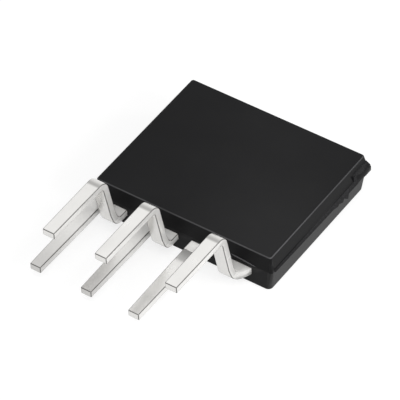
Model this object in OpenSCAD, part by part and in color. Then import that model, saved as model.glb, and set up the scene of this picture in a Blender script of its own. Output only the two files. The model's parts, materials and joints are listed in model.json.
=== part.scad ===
// Power single in-line package: a moulded body lying on its heat-sink face, six plated leads in two
// rows, and the pad, die and bond wires that the moulding holds. Sizes are in millimetres. The origin
// is the centre of the heat-sink face, which lies on Z = 0, and the leads point along -Y. Distances
// named ..._x are measured from the left side of the body, and ..._y from its lead face.

/* [Body] */
// Width across the leads, at the parting line
body_w = 10.16; // [9.9:0.02:10.5]
// Length along the leads, at the parting line
body_d = 8.3; // [8:0.05:8.8]
// Thickness from the heat-sink face to the marking face
body_t = 2.15; // [2.05:0.01:2.4]
// Height of the parting line
parting_z = 1.31; // [1.2:0.01:1.4]
// Draft of the upper half's walls, in degrees
upper_draft = 10; // [6:1:11]
// Draft of the lower half's side and far walls, in degrees
lower_draft = 7.5; // [5:0.5:9]
// Draft of the lower half's front wall, which the leads leave, in degrees
front_draft = 1.5; // [0.5:0.5:4]
// Step by which the lower half stays inside the upper half at the parting line
parting_step = 0.04; // [0.02:0.01:0.06]
// Radius of the upper half's upright corners
upper_corner_r = 0.12; // [0.06:0.01:0.3]
// Radius of the lower half's upright corners
lower_corner_r = 0.25; // [0.1:0.01:0.5]
// Rounding of the edges round the marking face
top_edge_r = 0.06; // [0.03:0.01:0.08]
// Rounding of the edges round the heat-sink face
bottom_edge_r = 0.08; // [0.03:0.01:0.1]

/* [Gate scar] */
// Distance by which the stub of the broken-off runner stands out of the right side
stub_out = 0.18; // [0.1:0.01:0.25]
// Length of the stub's full part, by the far right corner
stub_l = 0.45; // [0.3:0.05:0.6]
// Length over which the stub runs out towards the leads
stub_taper = 0.8; // [0.3:0.05:1.2]
// Height of the stub's outer face above the parting line
stub_edge = 0.24; // [0.1:0.01:0.26]
// Height of the stub's shoulder above the parting line
stub_shoulder = 0.37; // [0.28:0.01:0.42]
// Distance by which the shoulder stands out of the right side
shoulder_out = 0.12; // [0.04:0.01:0.18]
// Height above the parting line at which the stub's slope would reach its root
stub_h = 0.5; // [0.43:0.01:0.56]
// Width of the torn lip along the parting line, at its far end
lip_far = 0.14; // [0.08:0.01:0.18]
// Width of the torn lip at its near end
lip_near = 0.02; // [0.01:0.01:0.06]
// Height of the torn lip's outer face
lip_edge = 0.08; // [0.04:0.01:0.12]
// Distance from the parting line down to the underside of the lip
lip_drop = 0.06; // [0.02:0.01:0.1]
// Height above the parting line at which the lip's slope would reach its root
lip_rise = 0.22; // [0.12:0.01:0.26]
// Depth of the largest torn tooth that hangs from the lip
tooth_h = 0.3; // [0.1:0.01:0.4]
// Distance from the lead face to the first tooth
tooth_y = 5.1; // [4.5:0.05:5.5]
// Distance between teeth
tooth_pitch = 0.42; // [0.35:0.01:0.5]

/* [Leads] */
// Sheet thickness of the leads
lead_t = 0.38; // [0.3:0.01:0.42]
// Height of the leads' lower face where they leave the body
lead_z = 0.66; // [0.6:0.01:0.72]
// Centre of lead 1, which is straight
lead_1_x = 0.36; // [0.35:0.01:0.45]
// Centre of lead 2, which is formed up
lead_2_x = 1.47; // [1.35:0.01:1.6]
// Centre of lead 3, which is straight
lead_3_x = 3.26; // [2.9:0.01:3.35]
// Centre of lead 4, which is formed up
lead_4_x = 4.4; // [4.3:0.01:4.5]
// Centre of lead 5, which is straight and carries the pad
lead_5_x = 5.94; // [5.8:0.01:6.1]
// Centre of lead 7, which is formed up
lead_7_x = 8.15; // [8.1:0.01:8.35]
// Width of a straight lead at the body
straight_w = 0.7; // [0.6:0.01:0.74]
// Width of a straight lead at its tip
straight_tip_w = 0.6; // [0.5:0.01:0.7]
// Length of a straight lead beyond the lead face
straight_l = 5.17; // [4.6:0.01:5.6]
// Distance from the lead face at which a straight lead starts to narrow
straight_neck_y = 1.5; // [1:0.1:3]
// Distance from the lead face to the set line across the top of lead 5
set_line_y = 0.56; // [0.4:0.01:0.8]
// Width and depth of the set line
set_line = 0.03; // [0.02:0.01:0.05]

/* [Formed leads] */
// Width of a formed lead along its leg and over the upper bend
formed_w = 0.71; // [0.6:0.01:0.76]
// Width of a formed lead at its tip
formed_tip_w = 0.66; // [0.5:0.01:0.7]
// Extra width of the shoulder on the foot's right side
shoulder_w = 0.08; // [0.05:0.01:0.2]
// Height above the foot at which the shoulder starts to run out
shoulder_h = 0.05; // [0.02:0.01:0.3]
// Length of the shoulder's slope up the leg
shoulder_run = 0.45; // [0.3:0.01:1]
// Height of the upper face of the formed row
formed_top_z = 4.04; // [3.7:0.01:4.4]
// Length of leads 2 and 4 beyond the lead face
formed_l = 5.3; // [4.8:0.01:5.8]
// Length of lead 7 beyond the lead face
lead_7_l = 5.1; // [4.7:0.01:5.7]
// Extra width of lead 7's foot at the lead face
lead_7_flare = 0.38; // [0.2:0.01:0.5]
// Inside radius of the lower bend
lower_bend_r = 0.3; // [0.25:0.01:0.4]
// Inside radius of the upper bend
upper_bend_r = 0.22; // [0.15:0.01:0.4]
// Flat length of the foot, from the lead face to the lower bend
foot_l = 0.34; // [0.2:0.01:0.5]
// Lean of the leg away from the body, in degrees
leg_lean = 11; // [4:0.5:14]

/* [Pad] */
// Width of the bare heat-sink pad
pad_w = 6.7; // [6.3:0.05:7]
// Length of the bare heat-sink pad
pad_d = 5.04; // [4.8:0.02:5.1]
// Thickness of the pad
pad_t = 0.5; // [0.45:0.01:0.54]
// Distance from the lead face to the bare pad
pad_y = 2.3; // [2.2:0.05:2.4]
// Width of the lip that locks the pad into the moulding
pad_lip = 0.3; // [0.2:0.01:0.35]
// Thickness of the lip
pad_lip_t = 0.25; // [0.15:0.01:0.3]

/* [Inside] */
// Thickness of moulding left beside lead 1's root
side_cover = 0.08; // [0.05:0.01:0.1]
// Width of the neck that locks each lead into the moulding
neck_w = 0.42; // [0.36:0.01:0.46]
// Length of a lead's root, from the lead face to its neck
root_l = 0.45; // [0.35:0.01:0.5]
// Length of the neck
neck_l = 0.3; // [0.2:0.01:0.35]
// Distance from the lead face to the inner end of the leads
finger_y = 1.6; // [1.5:0.01:1.7]
// Reach of lead 7's bar towards the die, from the lead's centre
drain_bar = 1.3; // [1:0.01:1.35]
// Width of the silicon die
die_w = 3; // [2.6:0.05:3.2]
// Length of the silicon die
die_d = 2.4; // [2.2:0.05:2.8]
// Thickness of the silicon die
die_t = 0.28; // [0.2:0.01:0.32]
// Thickness of the die attach
attach_t = 0.03; // [0.02:0.01:0.05]
// Width of the die attach that shows round the die
attach_rim = 0.1; // [0.05:0.01:0.15]
// Distance from the left side of the body to the die
die_x = 2.2; // [2.1:0.05:2.6]
// Distance from the lead face to the die
die_y = 3.1; // [2.8:0.05:3.4]
// Diameter of a signal bond wire
signal_d = 0.05; // [0.04:0.01:0.06]
// Diameter of a power bond wire
power_d = 0.1; // [0.08:0.01:0.12]
// Rise of a bond wire's loop over the line between its ends
wire_rise = 0.38; // [0.3:0.01:0.42]
// Distance from a bond to the edge of the die or finger that it is made on
bond_in = 0.3; // [0.25:0.01:0.35]
// Distance between neighbouring power bonds
power_pitch = 0.4; // [0.3:0.01:0.45]

/* [Hidden] */

CURVE_FN = 48;
WIRE_FN = 16;
EDGE_STEP = 30;                      // degrees between the points of a rounded edge
CORNER_STEP = 15;                    // degrees between the points of a rounded upright corner
OVER = 1;                            // how far a cutting shape runs past what it cuts
WELD = 0.01;                         // overlap of a straight stretch with the bend that it joins
SCAR_ROOT = 0.1;                     // depth to which the stub and the lip are sunk in the side wall
TOOTH_SHARE = [0.35, 0.6, 1];        // depth of each torn tooth as a share of the largest
TOOTH_LEAN = 0.8;                    // place of a tooth's point along its width
DRAIN_WIRES = 3;

lead_top_z = lead_z + lead_t;
head_y = root_l + neck_l;
lower_mid_r = lower_bend_r + lead_t / 2;
upper_mid_r = upper_bend_r + lead_t / 2;
wall_inset = parting_step + (parting_z - lead_z) * tan(lower_draft);
lead_1_left = lead_1_x - wall_inset - side_cover;
pad_x = (body_w - pad_w) / 2;
die_z = pad_t + attach_t;
die_top_z = die_z + die_t;
die_bond_pitch = (die_w - 2 * bond_in) / 4;

// Centres of a formed lead's bends, in its side view of [y, z]
leg_dir = [-sin(leg_lean), cos(leg_lean)];
lower_centre = [-foot_l, lead_z + lead_t / 2 + lower_mid_r];
leg_start = lower_centre - lower_mid_r * [cos(leg_lean), sin(leg_lean)];
upper_centre_z = formed_top_z - lead_t / 2 - upper_mid_r;
leg_l = (upper_centre_z + upper_mid_r * sin(leg_lean) - leg_start[1]) / leg_dir[1];
leg_end = leg_start + leg_l * leg_dir;
upper_centre = leg_end - upper_mid_r * [cos(leg_lean), sin(leg_lean)];

// Edge outlines of the two halves, upwards, as [inset of the sides and far wall, inset of the front
// wall, z]
upper_inset = (body_t - top_edge_r - parting_z) * tan(upper_draft);
lower_inset = (parting_z - bottom_edge_r) * tan(lower_draft);
front_inset = (parting_z - bottom_edge_r) * tan(front_draft);
UPPER_EDGE = concat([[0, 0, parting_z]],
    [for (a = [0:EDGE_STEP:90])
        let (turned_in = upper_inset + top_edge_r * (1 - cos(a)))
            [turned_in, turned_in, body_t - top_edge_r * (1 - sin(a))]]);
LOWER_EDGE = concat(
    [for (a = [90:-EDGE_STEP:0])
        let (turned_in = bottom_edge_r * (1 - cos(a)))
            [lower_inset + turned_in, front_inset + turned_in, bottom_edge_r * (1 - sin(a))]],
    [[0, 0, parting_z]]);

// Moves its children to a point given from the left side and the lead face.
module at(x, y, z = 0) {
    translate([x - body_w / 2, y - body_d / 2, z]) children();
}

// Extrudes a side view of [y, z] along X, from x = 0.
module along_x(length) {
    rotate([90, 0, 90]) linear_extrude(length) children();
}

// ---- moulding ----

// Points of a block's outline at one point of its edge outline, anticlockwise from above.
function ring(w, d, corner_r, edge) =
    let (x = w / 2 - edge[0] - corner_r,
         far = d / 2 - edge[0] - corner_r,
         near = edge[1] + corner_r - d / 2)
    [for (corner = [[x, far, 0], [-x, far, 90], [-x, near, 180], [x, near, 270]],
          a = [corner[2]:CORNER_STEP:corner[2] + 90])
        [corner[0] + corner_r * cos(a), corner[1] + corner_r * sin(a), edge[2]]];

// Drafted block with rounded upright corners: rings joined from the lowest to the highest.
module drafted_block(edges, w, d, corner_r) {
    n = len(ring(w, d, corner_r, edges[0]));
    top = n * (len(edges) - 1);
    polyhedron([for (edge = edges) each ring(w, d, corner_r, edge)],
               concat([[for (i = [0:n - 1]) i], [for (i = [n - 1:-1:0]) top + i]],
                      [for (k = [0:n:top - n], i = [0:n - 1])
                          [k + i, k + n + i, k + n + (i + 1) % n, k + (i + 1) % n]]));
}

// Stub of the runner on the upper half, which runs out along the side towards the leads.
module gate_stub() {
    far = body_d - upper_corner_r;
    intersection() {
        at(body_w, far, parting_z)
            rotate([90, 0, 0])
                linear_extrude(stub_l + stub_taper)
                    polygon([[-SCAR_ROOT, 0], [stub_out, 0], [stub_out, stub_edge],
                             [shoulder_out, stub_shoulder], [-SCAR_ROOT, stub_h]]);
        at(body_w, far)
            linear_extrude(body_t)
                polygon([[-SCAR_ROOT, 0], [-SCAR_ROOT, -stub_l - stub_taper],
                         [0, -stub_l - stub_taper], [stub_out, -stub_l], [stub_out, 0]]);
    }
}

// Torn lip along the right side's parting line, with teeth that hang from it.
module gate_lip() {
    near = lower_corner_r;
    far = body_d - lower_corner_r;
    teeth = [for (i = [0:len(TOOTH_SHARE) - 1]) each
        let (y = tooth_y + i * tooth_pitch)
        [[y, -lip_drop],
         [y + TOOTH_LEAN * tooth_pitch, -lip_drop - TOOTH_SHARE[i] * tooth_h]]];
    intersection() {
        at(body_w, 0, parting_z) {
            translate([0, far, 0])
                rotate([90, 0, 0])
                    linear_extrude(far - near)
                        polygon([[-SCAR_ROOT, -lip_drop], [lip_far, -lip_drop],
                                 [lip_far, lip_edge - lip_drop], [-SCAR_ROOT, lip_rise]]);
            translate([-lower_inset - SCAR_ROOT, 0, 0])
                along_x(lower_inset + SCAR_ROOT + lip_far)
                    polygon(concat([[tooth_y, 0]], teeth,
                                   [[tooth_y + len(TOOTH_SHARE) * tooth_pitch, -lip_drop],
                                    [tooth_y + len(TOOTH_SHARE) * tooth_pitch, 0]]));
        }
        at(body_w, 0)
            linear_extrude(body_t)
                polygon([[-lower_inset - SCAR_ROOT, near], [lip_near, near], [lip_far, far],
                         [-lower_inset - SCAR_ROOT, far]]);
    }
}

module moulding_outside() {
    drafted_block(UPPER_EDGE, body_w, body_d, upper_corner_r);
    drafted_block(LOWER_EDGE, body_w - 2 * parting_step, body_d - 2 * parting_step, lower_corner_r);
    gate_stub();
    gate_lip();
}

module mould_body() {
    color([0.11, 0.11, 0.12])
        difference() {
            moulding_outside();
            lead_1();
            lead_2();
            lead_3();
            lead_4();
            lead_5_with_pad();
            lead_7();
            silicon_die();
            die_attach();
            signal_bond_wires();
            power_bond_wires();
        }
}

// ---- leads ----

// Root, locking neck and bonding head of a lead, inside the moulding. The sides are given from
// the lead's centre, and head_left is the head's own left side.
module finger(x, left, right, head_left) {
    at(x, 0, lead_z)
        linear_extrude(lead_t) {
            translate([-left, 0]) square([left + right, root_l]);
            translate([(right - left - neck_w) / 2, 0]) square([neck_w, head_y + neck_l]);
            translate([-head_left, head_y]) square([head_left + right, finger_y - head_y]);
        }
}

// Straight lead outside the moulding, narrowing beyond its neck.
module straight_blade(x) {
    at(x, 0, lead_z)
        linear_extrude(lead_t)
            polygon([[-straight_w / 2, 0], [-straight_w / 2, -straight_neck_y],
                     [-straight_tip_w / 2, -straight_l], [straight_tip_w / 2, -straight_l],
                     [straight_w / 2, -straight_neck_y], [straight_w / 2, 0]]);
}

// Part of a ring of the lead's thickness between two angles, round the origin.
module bend(inside_r, a0, a1) {
    reach = 2 * (inside_r + lead_t);
    intersection() {
        difference() {
            circle(inside_r + lead_t, $fn = CURVE_FN);
            circle(inside_r, $fn = CURVE_FN);
        }
        polygon(concat([[0, 0]], [for (a = [a0, (a0 + a1) / 2, a1]) reach * [cos(a), sin(a)]]));
    }
}

// Side view of a formed lead: foot, lower bend, leg, upper bend and run.
module formed_side(length) {
    translate([-foot_l - WELD, lead_z]) square([foot_l + WELD, lead_t]);
    translate(lower_centre) bend(lower_bend_r, 180 + leg_lean, 270);
    translate(leg_start) rotate(leg_lean)
        translate([-lead_t / 2, -WELD]) square([lead_t, leg_l + 2 * WELD]);
    translate(upper_centre) bend(upper_bend_r, leg_lean, 90);
    translate([-length, formed_top_z - lead_t]) square([length + upper_centre[0] + WELD, lead_t]);
}

// Formed lead outside the moulding: its side view, cut to the outlines seen from the front and
// from above.
module formed_blade(x, length, flare = 0) {
    half = formed_w / 2;
    slope_z = lead_top_z + shoulder_h;
    intersection() {
        at(x - formed_w, 0) along_x(2 * formed_w + shoulder_w + flare) formed_side(length);
        at(x, OVER)
            rotate([90, 0, 0]) linear_extrude(length + 2 * OVER)
                polygon([[-half, 0], [half + shoulder_w + flare, 0],
                         [half + shoulder_w + flare, lead_top_z], [half + shoulder_w, lead_top_z],
                         [half + shoulder_w, slope_z], [half, slope_z + shoulder_run],
                         [half, formed_top_z + OVER], [-half, formed_top_z + OVER]]);
        at(x, 0)
            linear_extrude(formed_top_z + OVER)
                polygon([[-half, 0], [-half, upper_centre[0]], [-formed_tip_w / 2, -length],
                         [formed_tip_w / 2, -length], [half, upper_centre[0]],
                         [half + shoulder_w, upper_centre[0]],
                         [half + shoulder_w, -foot_l - lower_mid_r],
                         [half + shoulder_w + flare, 0]]);
    }
}

module straight_lead(x, left = straight_w / 2) {
    color([0.82, 0.81, 0.79]) {
        straight_blade(x);
        finger(x, left, straight_w / 2, left);
    }
}

module formed_lead(x, length, flare = 0, head_left = formed_w / 2) {
    color([0.82, 0.81, 0.79]) {
        formed_blade(x, length, flare);
        finger(x, formed_w / 2, formed_w / 2 + shoulder_w + flare, head_left);
    }
}

module lead_1() { straight_lead(lead_1_x, lead_1_left); }
module lead_2() { formed_lead(lead_2_x, formed_l); }
module lead_3() { straight_lead(lead_3_x); }
module lead_4() { formed_lead(lead_4_x, formed_l); }
module lead_7() { formed_lead(lead_7_x, lead_7_l, lead_7_flare, drain_bar); }

// Heat-sink pad with its locking lip, from its front left corner.
module pad() {
    at(pad_x, pad_y) cube([pad_w, pad_d, pad_t]);
    at(pad_x - pad_lip, pad_y - pad_lip, pad_t - pad_lip_t)
        cube([pad_w + 2 * pad_lip, pad_d + 2 * pad_lip, pad_lip_t]);
}

// Strap that steps down from lead 5's neck to the pad.
module pad_strap() {
    lip_z = pad_t - pad_lip_t;
    at(lead_5_x - straight_w / 2, 0)
        along_x(straight_w)
            polygon([[root_l, lead_z], [head_y, lead_z], [pad_y - pad_lip, lip_z],
                     [pad_y, lip_z], [pad_y, pad_t], [pad_y - pad_lip, pad_t],
                     [head_y, lead_top_z], [root_l, lead_top_z]]);
}

module lead_5_with_pad() {
    color([0.82, 0.81, 0.79]) {
        difference() {
            straight_blade(lead_5_x);
            at(lead_5_x - straight_w, -set_line_y, lead_top_z - set_line)
                cube([2 * straight_w, set_line, OVER]);
        }
        at(lead_5_x - straight_w / 2, 0, lead_z) cube([straight_w, root_l, lead_t]);
        pad_strap();
        pad();
    }
}

// ---- die and bonds ----

module silicon_die() {
    color([0.45, 0.47, 0.5]) at(die_x, die_y, die_z) cube([die_w, die_d, die_t]);
}

module die_attach() {
    color([0.6, 0.6, 0.62])
        at(die_x - attach_rim, die_y - attach_rim, pad_t)
            cube([die_w + 2 * attach_rim, die_d + 2 * attach_rim, attach_t]);
}

// Bond wire between two [x, y, z] landings: an arc of a ring with a flattened ball at each end.
module bond_wire(p, q, d) {
    from = p + [0, 0, 0.6 * d];
    to = q + [0, 0, 0.6 * d];
    flat = norm([to[0] - from[0], to[1] - from[1]]);
    chord = norm(to - from);
    ring_r = (chord * chord / 4 + wire_rise * wire_rise) / (2 * wire_rise);
    half_angle = asin(chord / 2 / ring_r);
    mid = (from + to) / 2;
    at(mid[0], mid[1], mid[2])
        rotate([0, 0, atan2(to[1] - from[1], to[0] - from[0])])
            rotate([0, -atan2(to[2] - from[2], flat), 0])
                translate([0, 0, wire_rise - ring_r])
                    rotate([90, 0, 0]) rotate(90 - half_angle)
                        rotate_extrude(angle = 2 * half_angle, $fn = CURVE_FN)
                            translate([ring_r, 0]) circle(d = d, $fn = WIRE_FN);
    for (end = [p, q])
        at(end[0], end[1], end[2]) cylinder(h = d, d = 2.4 * d, $fn = WIRE_FN);
}

// One wire from each of leads 1 to 4 to the front edge of the die.
module signal_bond_wires() {
    starts = [lead_1_x, lead_2_x, lead_3_x, lead_4_x];
    color("gold")
        for (i = [0:len(starts) - 1])
            bond_wire([starts[i], finger_y - bond_in, lead_top_z],
                      [die_x + bond_in + i * die_bond_pitch, die_y + bond_in, die_top_z], signal_d);
}

// Drain wires from lead 7's bar to the die, and a source wire from the die to the pad.
module power_bond_wires() {
    right_x = die_x + die_w - bond_in;
    color("silver") {
        for (i = [0:DRAIN_WIRES - 1])
            bond_wire([right_x, die_y + bond_in + (DRAIN_WIRES - 1 - i) * power_pitch, die_top_z],
                      [lead_7_x - drain_bar + bond_in + (DRAIN_WIRES - 1 - i) * power_pitch,
                       finger_y - bond_in, lead_top_z], power_d);
        bond_wire([right_x, die_y + die_d - bond_in, die_top_z],
                  [die_x + die_w + 2 * bond_in, die_y + die_d - bond_in, pad_t], power_d);
    }
}

mould_body();
lead_1();
lead_2();
lead_3();
lead_4();
lead_5_with_pad();
lead_7();
silicon_die();
die_attach();
signal_bond_wires();
power_bond_wires();
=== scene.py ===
import json
import math
import random

import bmesh
import bpy
from mathutils import Matrix, Vector

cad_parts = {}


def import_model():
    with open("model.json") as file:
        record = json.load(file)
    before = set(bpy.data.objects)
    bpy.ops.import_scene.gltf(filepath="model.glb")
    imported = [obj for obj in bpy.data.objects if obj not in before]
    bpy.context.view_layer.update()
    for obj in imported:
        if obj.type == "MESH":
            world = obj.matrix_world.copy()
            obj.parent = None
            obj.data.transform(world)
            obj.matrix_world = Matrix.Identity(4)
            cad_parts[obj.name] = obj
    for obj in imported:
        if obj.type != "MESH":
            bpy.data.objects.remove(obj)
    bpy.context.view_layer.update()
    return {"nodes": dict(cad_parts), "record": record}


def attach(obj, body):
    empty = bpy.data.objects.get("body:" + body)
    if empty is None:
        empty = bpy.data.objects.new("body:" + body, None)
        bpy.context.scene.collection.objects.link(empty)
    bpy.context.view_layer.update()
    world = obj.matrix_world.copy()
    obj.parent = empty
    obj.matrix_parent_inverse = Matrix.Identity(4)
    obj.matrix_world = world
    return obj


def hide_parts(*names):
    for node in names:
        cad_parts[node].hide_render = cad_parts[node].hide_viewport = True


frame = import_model()
MM = 0.001

# ---- camera ----
# The angles are in degrees, and the aim, its shift in the view and the distance in mm.
AZIMUTH, ELEVATION, ROLL = 36.841, 45.273, -3.389
AIM = (0.0, -0.125, 1.14)
AIM_SHIFT = (-1.416, -0.786)
DISTANCE = 178.24
FOCAL_PX = 3770.43
FRAME_PX = 400
SENSOR = 36.0
CLIP = (0.01, 10.0)


def camera():
    a, e, r = (math.radians(v) for v in (AZIMUTH, ELEVATION, ROLL))
    back = Vector((math.sin(a) * math.cos(e), -math.cos(a) * math.cos(e), math.sin(e)))
    flat_right = Vector((math.cos(a), math.sin(a), 0.0))
    flat_up = back.cross(flat_right)
    right = flat_right * math.cos(r) + flat_up * math.sin(r)
    up = -flat_right * math.sin(r) + flat_up * math.cos(r)
    data = bpy.data.cameras.new("camera")
    data.sensor_width = SENSOR
    data.lens = FOCAL_PX * SENSOR / FRAME_PX
    data.clip_start, data.clip_end = CLIP
    cam = bpy.data.objects.new("camera", data)
    place = Vector(AIM) + right * AIM_SHIFT[0] + up * AIM_SHIFT[1] + back * DISTANCE
    turn = Matrix((right, up, back)).transposed().to_4x4()
    cam.matrix_world = Matrix.Translation(place * MM) @ turn
    bpy.context.scene.collection.objects.link(cam)
    bpy.context.scene.camera = cam


# ---- node helper ----
NOISE_MIDDLE = (0.3, 0.7)
BUMP_DEPTH = 0.01 * MM
# places of a Mix node's colour inputs and colour output among its sockets
MIX_COLORS, MIX_RESULT = 6, 2


class Nodes:
    """The node tree of a material or world, with short ways to add and join nodes."""

    def __init__(self, owner, output="ShaderNodeOutputMaterial"):
        owner.use_nodes = True
        self.owner = owner
        self.tree = owner.node_tree
        self.tree.nodes.clear()
        self.out = self.add(output)

    def add(self, kind, props=(), **inputs):
        node = self.tree.nodes.new(kind)
        for key, value in dict(props).items():
            setattr(node, key, value)
        for key, value in inputs.items():
            self.set(node, key.replace("_", " "), value)
        return node

    def set(self, node, socket, value):
        """Links a socket, or sets a number or colour, on an input given by name or place."""
        target = node.inputs[socket]
        if isinstance(value, bpy.types.NodeSocket):
            self.tree.links.new(value, target)
        elif target.type == "RGBA" and len(value) == 3:
            target.default_value = (*value, 1.0)
        else:
            target.default_value = value

    def feed(self, node, *values, start=0):
        """Sets a node's inputs in their order."""
        for place, value in enumerate(values, start):
            self.set(node, place, value)
        return node

    def noise(self, scale, detail=3.0, rough=0.5, stretch=(1.0, 1.0, 1.0)):
        place = self.add("ShaderNodeTexCoord").outputs["Object"]
        mapping = self.add("ShaderNodeMapping", Scale=stretch, Vector=place)
        node = self.add("ShaderNodeTexNoise", Scale=scale, Detail=detail, Roughness=rough,
                        Vector=mapping.outputs["Vector"])
        return node.outputs["Fac"]

    def ramp(self, fac, stops):
        node = self.add("ShaderNodeValToRGB", Fac=fac)
        band = node.color_ramp
        while len(band.elements) < len(stops):
            band.elements.new(0.5)
        for element, (place, value) in zip(band.elements, stops):
            element.position = place
            element.color = (*value, 1.0) if isinstance(value, tuple) else (value, value, value, 1.0)
        return node.outputs["Color"]

    def between(self, noise, low, high):
        """Goes from low to high over the middle of a noise's range."""
        return self.ramp(noise, list(zip(NOISE_MIDDLE, (low, high))))

    def math(self, kind, *values, clamp=False):
        node = self.add("ShaderNodeMath", {"operation": kind, "use_clamp": clamp})
        return self.feed(node, *values).outputs[0]

    def far_along(self, value, start, length):
        """0 at start, 1 at start + length and beyond it, and even in between."""
        return self.math("MULTIPLY", self.math("SUBTRACT", value, start), 1.0 / length, clamp=True)

    def mask(self, name):
        return self.add("ShaderNodeAttribute", {"attribute_name": name}).outputs["Fac"]

    def blend(self, fac, a, b):
        node = self.add("ShaderNodeMix", {"data_type": "RGBA"})
        self.feed(node, fac)
        self.feed(node, a, b, start=MIX_COLORS)
        return node.outputs[MIX_RESULT]

    def axis(self, name, kind="Object"):
        place = self.add("ShaderNodeTexCoord").outputs[kind]
        return self.add("ShaderNodeSeparateXYZ", Vector=place).outputs[name]

    def tilt(self, name):
        """How far the surface faces along an axis, either way."""
        return self.math("ABSOLUTE", self.axis(name, "Normal"))

    def bump(self, height, strength):
        node = self.add("ShaderNodeBump", Height=height, Strength=strength, Distance=BUMP_DEPTH)
        return node.outputs["Normal"]

    def finish(self, shader):
        self.tree.links.new(shader.outputs[0], self.out.inputs["Surface"])
        return self.owner


# ---- moulding compound ----
MOULD_CLOUDS, MOULD_GRAIN = 260.0, 16000.0
MOULD_DARK, MOULD_LIGHT = (0.0085, 0.0085, 0.009), (0.011, 0.011, 0.0115)
MOULD_BUMP = 0.25
MOULD_SPECULAR = 0.06
MOULD_ROUGH, SIDES_SMOOTHER, GRAIN_ROUGHER = 0.4, -0.14, 0.06
FACES_SIDEWAYS = 0.5
# painted highlight: a light grey laid on the body's marked top edge and on the flash, patchy with the
# clouds
EDGE_HIGHLIGHT_PAINT = (0.09, 0.09, 0.093)
EDGE_HIGHLIGHT_AMOUNT = (0.4, 1.0)
TORN_FROM, TORN_END = 5.09 * MM, 3.0 * MM
TORN = [(0.35, (0.018, 0.018, 0.018)), (0.65, (0.034, 0.034, 0.036))]
TORN_ROUGH = 0.9


def mould_material():
    """Dark grey, with a painted highlight along the top edge and a rough face where the gate was torn off.
    """
    n = Nodes(bpy.data.materials.new("mould_compound"))
    clouds = n.noise(MOULD_CLOUDS)
    grain = n.noise(MOULD_GRAIN, detail=2.0, rough=0.6)
    # painted highlight along the marked top edge
    painted_highlight = n.math("MULTIPLY", n.mask("edge"), n.between(clouds, *EDGE_HIGHLIGHT_AMOUNT))
    torn = n.math("MULTIPLY", n.math("GREATER_THAN", n.axis("X"), TORN_FROM),
                  n.math("LESS_THAN", n.axis("Y"), TORN_END))
    whole = n.blend(painted_highlight, n.between(clouds, MOULD_DARK, MOULD_LIGHT), EDGE_HIGHLIGHT_PAINT)
    sideways = n.math("GREATER_THAN", n.tilt("X"), FACES_SIDEWAYS)
    rough = n.math("MULTIPLY_ADD", grain, GRAIN_ROUGHER,
                   n.math("MULTIPLY_ADD", sideways, SIDES_SMOOTHER, MOULD_ROUGH))
    shader = n.add("ShaderNodeBsdfPrincipled", Base_Color=n.blend(torn, whole, n.ramp(grain, TORN)),
                   Roughness=n.math("MAXIMUM", rough, n.math("MULTIPLY", torn, TORN_ROUGH)),
                   Normal=n.bump(grain, MOULD_BUMP))
    n.set(shader, "Specular IOR Level", MOULD_SPECULAR)
    return n.finish(shader)


# ---- tin plate ----
TIN_CLOUDS, TIN_GRAIN = 900.0, 14000.0
TIN_STRETCH = (1.0, 0.35, 1.0)
TIN_DARK, TIN_LIGHT = (0.8, 0.79, 0.77), (0.86, 0.85, 0.83)
TIN_ROUGH = (0.2, 0.28)
TIN_BUMP = 0.04
TIN_METAL, SHEARED_METAL, ROOT_METAL = 0.65, -0.4, -0.65
SHEARED_TILT = 0.7
EDGE_LINE = (0.13, 0.127, 0.122)
STRAIGHT_BELOW = 1.3 * MM
TIP_FROM, TIP_LENGTH = -6.5 * MM, 2.5 * MM
TIP_AMOUNT = 0.5
# painted shade on the left straight leads, darker towards their tips
TIP_SHADE_PAINT = (0.4, 0.39, 0.38)
ROOT_FROM, ROOT_LENGTH = -6.0 * MM, 0.8 * MM
ROOT_TOP, ROOT_TOP_WITHIN = 1.05 * MM, 0.06 * MM
BEND_FROM, BEND_LENGTH, BEND_ABOVE = -6.1 * MM, 0.6 * MM, 3.6 * MM
BEND_TILT = 0.4
BEND_BAND = [(0.15, 0.0), (0.35, 0.75), (0.5, 0.7), (0.75, 0.25), (1.0, 0.0)]
# painted reflection of the dark body, as a grey band over each upper bend
BEND_REFLECTION_PAINT = (0.3, 0.295, 0.285)


def painted_tip_shade(n):
    """Painted shade: the straight leads on the left half grow darker towards their tips."""
    outward = n.far_along(n.axis("Y"), TIP_FROM, -TIP_LENGTH)
    straight = n.math("LESS_THAN", n.axis("Z"), STRAIGHT_BELOW)
    left = n.math("LESS_THAN", n.axis("X"), 0.0)
    return n.math("MULTIPLY", n.math("MULTIPLY", straight, outward), n.math("MULTIPLY", left, TIP_AMOUNT))


def painted_bend_reflection(n):
    """Painted reflection of the dark body: a darker band across the outside of each upper bend."""
    outside = n.math("MULTIPLY", n.math("GREATER_THAN", n.axis("Z"), BEND_ABOVE),
                     n.math("GREATER_THAN", n.axis("Z", "Normal"), BEND_TILT))
    return n.math("MULTIPLY", outside, n.ramp(n.far_along(n.axis("Y"), BEND_FROM, BEND_LENGTH), BEND_BAND))


def roots(n):
    """The leads' upper faces near the body, more towards it."""
    return n.math("MULTIPLY", n.math("COMPARE", n.axis("Z"), ROOT_TOP, ROOT_TOP_WITHIN),
                  n.far_along(n.axis("Y"), ROOT_FROM, ROOT_LENGTH))


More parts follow.
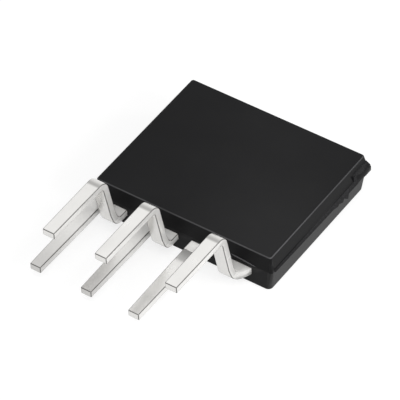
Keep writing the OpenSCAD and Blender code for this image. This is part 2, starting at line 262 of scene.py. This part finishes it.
def tin_material():
    """Cloudy matt tin, with duller sheared sides, thin dark lines along its edges, painted shade towards
    the left tips and a painted reflection over the bends.
    """
    n = Nodes(bpy.data.materials.new("tin_plate"))
    clouds = n.noise(TIN_CLOUDS, detail=4.0)
    grain = n.noise(TIN_GRAIN, rough=0.6, stretch=TIN_STRETCH)
    # painted shade towards the tips of the left straight leads
    plate = n.blend(painted_tip_shade(n), n.between(clouds, TIN_DARK, TIN_LIGHT), TIP_SHADE_PAINT)
    # painted reflection: a darker band over the upper bends
    plate = n.blend(painted_bend_reflection(n), plate, BEND_REFLECTION_PAINT)
    sheared = n.math("GREATER_THAN", n.tilt("X"), SHEARED_TILT)
    metal = n.math("MULTIPLY", n.math("MULTIPLY_ADD", sheared, SHEARED_METAL, TIN_METAL),
                   n.math("MULTIPLY_ADD", roots(n), ROOT_METAL, 1.0))
    return n.finish(n.add("ShaderNodeBsdfPrincipled", Base_Color=n.blend(n.mask("edge"), plate, EDGE_LINE),
                          Roughness=n.between(clouds, *TIN_ROUGH), Metallic=metal,
                          Normal=n.bump(grain, TIN_BUMP)))


# ---- inside metals, as dark colour, light colour and roughness ----
METALS = {
    "silicon": ((0.12, 0.13, 0.16), (0.2, 0.21, 0.25), 0.2),
    "solder": ((0.4, 0.4, 0.42), (0.55, 0.55, 0.57), 0.5),
    "gold_wire": ((0.8, 0.55, 0.18), (0.9, 0.66, 0.26), 0.25),
    "aluminium_wire": ((0.72, 0.72, 0.74), (0.85, 0.85, 0.87), 0.3),
}
METAL_CLOUDS = 3000.0
METAL_BUMP = 0.2


def plain_metal(name, dark, light, rough):
    n = Nodes(bpy.data.materials.new(name))
    clouds = n.noise(METAL_CLOUDS)
    shader = n.add("ShaderNodeBsdfPrincipled", Base_Color=n.between(clouds, dark, light),
                   Normal=n.bump(clouds, METAL_BUMP), Metallic=1.0, Roughness=rough)
    return n.finish(shader)


MATERIALS = {"mould_compound": mould_material(), "tin_plate": tin_material()}
MATERIALS.update({name: plain_metal(name, *look) for name, look in METALS.items()})
SLOT = {part["node"]: part["material_slot"] for part in frame["record"]["subparts"]}
for node, slot in SLOT.items():
    mesh = frame["nodes"][node].data
    mesh.materials.clear()
    mesh.materials.append(MATERIALS[slot])

# ---- pieces with rounded edges ----
SAME_POINT = 0.0002 * MM
FLAT_WITHIN = 0.6
SMOOTH_UP_TO = 50.0
TOP_EDGE_TILT = (0.25, 0.99)
TOP_EDGE_FROM = 2.0 * MM
SET_LINE = (-4.72 * MM, -4.67 * MM)
FLARE_X, FLARE_Y = 3.49 * MM, (-5.02 * MM, -3.5 * MM)
LEADS = ("lead_1", "lead_2", "lead_3", "lead_4", "lead_5_with_pad", "lead_7")
LEAD_ROUNDING = {"width": 0.05 * MM, "segments": 3, "from_angle": 25.0, "shortest": 0.015 * MM}
BODY_ROUNDING = {"width": 0.025 * MM, "segments": 2, "from_angle": 38.0, "top_edge": True}


def stays_sharp(place):
    """The scribed line on lead 5 and the flare at the foot of lead 7 are too fine to round."""
    return (SET_LINE[0] < place.y < SET_LINE[1]
            or place.x > FLARE_X and FLARE_Y[0] < place.y < FLARE_Y[1])


def is_sharp(edge, from_angle):
    return (len(edge.link_faces) == 2 and edge.calc_face_angle(0.0) > math.radians(from_angle)
            and not all(stays_sharp(v.co) for v in edge.verts))


def is_top_edge(face):
    return (TOP_EDGE_TILT[0] < face.normal.z < TOP_EDGE_TILT[1]
            and face.calc_center_median().z > TOP_EDGE_FROM)


def mark_edges(bm, rounding=None):
    """Marks the points that lie only on rounding faces, or all of them, for the materials."""
    layer = bm.verts.layers.float.new("edge")
    for vert in bm.verts:
        vert[layer] = float(rounding is None or all(face in rounding for face in vert.link_faces))


def rounded_copy(node, width, segments, from_angle, shortest=None, top_edge=False):
    """A node's form with its sharp edges rounded, which stands for the node.

    Edges up to shortest are merged first. Where none is given, they limit the rounding instead.
    """
    name = node + "_finished"
    mesh = bpy.data.meshes.new(name)
    bm = bmesh.new()
    bm.from_mesh(frame["nodes"][node].data)
    bmesh.ops.remove_doubles(bm, verts=bm.verts, dist=SAME_POINT)
    if shortest:
        bmesh.ops.dissolve_degenerate(bm, dist=shortest, edges=bm.edges)
    bmesh.ops.dissolve_limit(bm, angle_limit=math.radians(FLAT_WITHIN), verts=bm.verts, edges=bm.edges)
    sharp = [edge for edge in bm.edges if is_sharp(edge, from_angle)]
    made = bmesh.ops.bevel(bm, geom=sharp, offset=width, offset_type="OFFSET", segments=segments,
                           profile=0.5, affect="EDGES", clamp_overlap=not shortest)
    bm.normal_update()
    rounding = set(made["faces"])
    # The top edge's rounding faces are marked as well; on the moulding this mark carries its painted
    # highlight.
    if top_edge:
        rounding.update(face for face in bm.faces if is_top_edge(face))
    mark_edges(bm, rounding)
    bmesh.ops.triangulate(bm, faces=[f for f in bm.faces if len(f.verts) > 4])
    bm.normal_update()
    bm.to_mesh(mesh)
    bm.free()
    obj = bpy.data.objects.new(name, mesh)
    bpy.context.scene.collection.objects.link(obj)
    for polygon in mesh.polygons:
        polygon.use_smooth = True
    mesh.set_sharp_from_angle(angle=math.radians(SMOOTH_UP_TO))
    mesh.materials.append(MATERIALS[SLOT[node]])
    keep = obj.modifiers.new("flat faces stay flat", "WEIGHTED_NORMAL")
    keep.keep_sharp = True
    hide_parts(node)
    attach(obj, "root")
    return obj


for node in LEADS:
    rounded_copy(node, **LEAD_ROUNDING)
body = rounded_copy("mould_body", **BODY_ROUNDING)

# ---- flash, in mm ----
FRONT_Y = -4.15
FLASH_X, FLASH_Z = (2.8, 4.2), (1.43, 1.32)
FLASH_OUT, FLASH_ROOT, FLASH_T = 0.07, 0.06, 0.02
FLASH_RAGGED = (0.6, 1.0)
FLASH_STEPS = 24
FLASH_SEED = 7


def flash_section(t, ragged):
    """The fin's two points in the wall and the one that stands out, at a share t of its length."""
    x = FLASH_X[0] + (FLASH_X[1] - FLASH_X[0]) * t
    z = FLASH_Z[0] + (FLASH_Z[1] - FLASH_Z[0]) * t * t
    out = FLASH_OUT * math.sin(math.pi * t) ** 0.5 * ragged
    return [(x * MM, (FRONT_Y - y_out) * MM, (z + z_off) * MM)
            for y_out, z_off in ((-FLASH_ROOT, -FLASH_T), (-FLASH_ROOT, FLASH_T), (out, 0.0))]


def mould_flash():
    """The ragged thin fin of moulding left along the parting line over lead 7."""
    rng = random.Random(FLASH_SEED)
    verts, faces = [], []
    for i in range(FLASH_STEPS + 1):
        verts += flash_section(i / FLASH_STEPS, rng.uniform(*FLASH_RAGGED))
    for a in range(0, 3 * FLASH_STEPS, 3):
        b = a + 3
        faces += [(a, b, b + 1, a + 1), (a + 1, b + 1, b + 2, a + 2), (a + 2, b + 2, b, a)]
    faces += [(2, 1, 0), (len(verts) - 3, len(verts) - 2, len(verts) - 1)]
    mesh = bpy.data.meshes.new("mould_flash")
    mesh.from_pydata(verts, [], faces)
    mesh.validate()
    bm = bmesh.new()
    bm.from_mesh(mesh)
    bmesh.ops.recalc_face_normals(bm, faces=bm.faces)
    # Every point of the fin is marked, so the whole fin takes the moulding's painted highlight.
    mark_edges(bm)
    bm.to_mesh(mesh)
    bm.free()
    obj = bpy.data.objects.new("mould_flash", mesh)
    bpy.context.scene.collection.objects.link(obj)
    mesh.materials.append(MATERIALS["mould_compound"])
    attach(obj, "root")


mould_flash()

# ---- stage ----
WHITE = (1.0, 1.0, 1.0)
FLOOR_HALF = 600.0 * MM
FLOOR_GAP = 0.01 * MM
FLOOR_GREY = (0.35, 0.35, 0.35)
FLOOR_GLOW = 0.74
WORLD_LIGHT = 0.45
# name, place and aim in mm, diameter in mm, brightness, whether it lights the body alone
LAMPS = [
    ("over_front", (50, -60, 140), (0, -2, 1), 90, 4.0, False),
    ("right", (126, -14, 59), (0, -2, 1), 70, 8.0, False),
    ("right_back", (99, 79, 59), (3, 0, 1), 44, 6.0, False),
    ("card", (-0.8, 5.0, 14), (4, -4, 2), 7, 4.0, True),
]


def sees_background(n):
    """1 for the rays that see the white background itself, 0 for those that light the object."""
    path = n.add("ShaderNodeLightPath")
    return n.math("MAXIMUM", path.outputs["Is Camera Ray"],
                  n.math("MAXIMUM", path.outputs["Is Glossy Ray"],
                         path.outputs["Is Transmission Ray"]))


def floor_material():
    """Grey that takes the shadow, lifted to white for what sees it, and clear from below."""
    n = Nodes(bpy.data.materials.new("floor"))
    grey = n.add("ShaderNodeBsdfDiffuse", Color=FLOOR_GREY)
    glow = n.add("ShaderNodeEmission", Strength=n.math("MULTIPLY", sees_background(n), FLOOR_GLOW))
    above = n.feed(n.add("ShaderNodeAddShader"), grey.outputs[0], glow.outputs[0])
    below = n.add("ShaderNodeBsdfTransparent")
    side = n.add("ShaderNodeNewGeometry")
    both = n.add("ShaderNodeMixShader", Fac=side.outputs["Backfacing"])
    return n.finish(n.feed(both, above.outputs[0], below.outputs[0], start=1))


def floor():
    a, z = FLOOR_HALF, -FLOOR_GAP
    mesh = bpy.data.meshes.new("floor")
    mesh.from_pydata([(-a, -a, z), (a, -a, z), (a, a, z), (-a, a, z)], [], [(0, 1, 2, 3)])
    mesh.materials.append(floor_material())
    obj = bpy.data.objects.new("floor", mesh)
    bpy.context.scene.collection.objects.link(obj)


def world():
    """White to the rays that see it, and a lower even level of light on the object."""
    owner = bpy.data.worlds.new("world")
    bpy.context.scene.world = owner
    n = Nodes(owner, "ShaderNodeOutputWorld")
    level = n.math("MULTIPLY_ADD", sees_background(n), 1.0 - WORLD_LIGHT, WORLD_LIGHT)
    n.finish(n.add("ShaderNodeBackground", Color=WHITE, Strength=level))


def lamp(name, place, aim, size, level, receivers):
    """A round soft light that shines at a given radiance."""
    data = bpy.data.lights.new(name, "AREA")
    data.shape = "DISK"
    data.size = size * MM
    data.energy = level * math.pi * math.pi * (size * MM / 2) ** 2
    obj = bpy.data.objects.new(name, data)
    obj.location = Vector(place) * MM
    obj.rotation_euler = (Vector(aim) - Vector(place)).to_track_quat("-Z", "Y").to_euler()
    obj.visible_camera = False
    obj.light_linking.receiver_collection = receivers
    bpy.context.scene.collection.objects.link(obj)


camera()
floor()
world()
body_only = bpy.data.collections.new("body_only")
body_only.objects.link(body)
for name, place, aim, size, level, for_body in LAMPS:
    lamp(name, place, aim, size, level, body_only if for_body else None)
bpy.context.scene.view_settings.view_transform = "Standard"
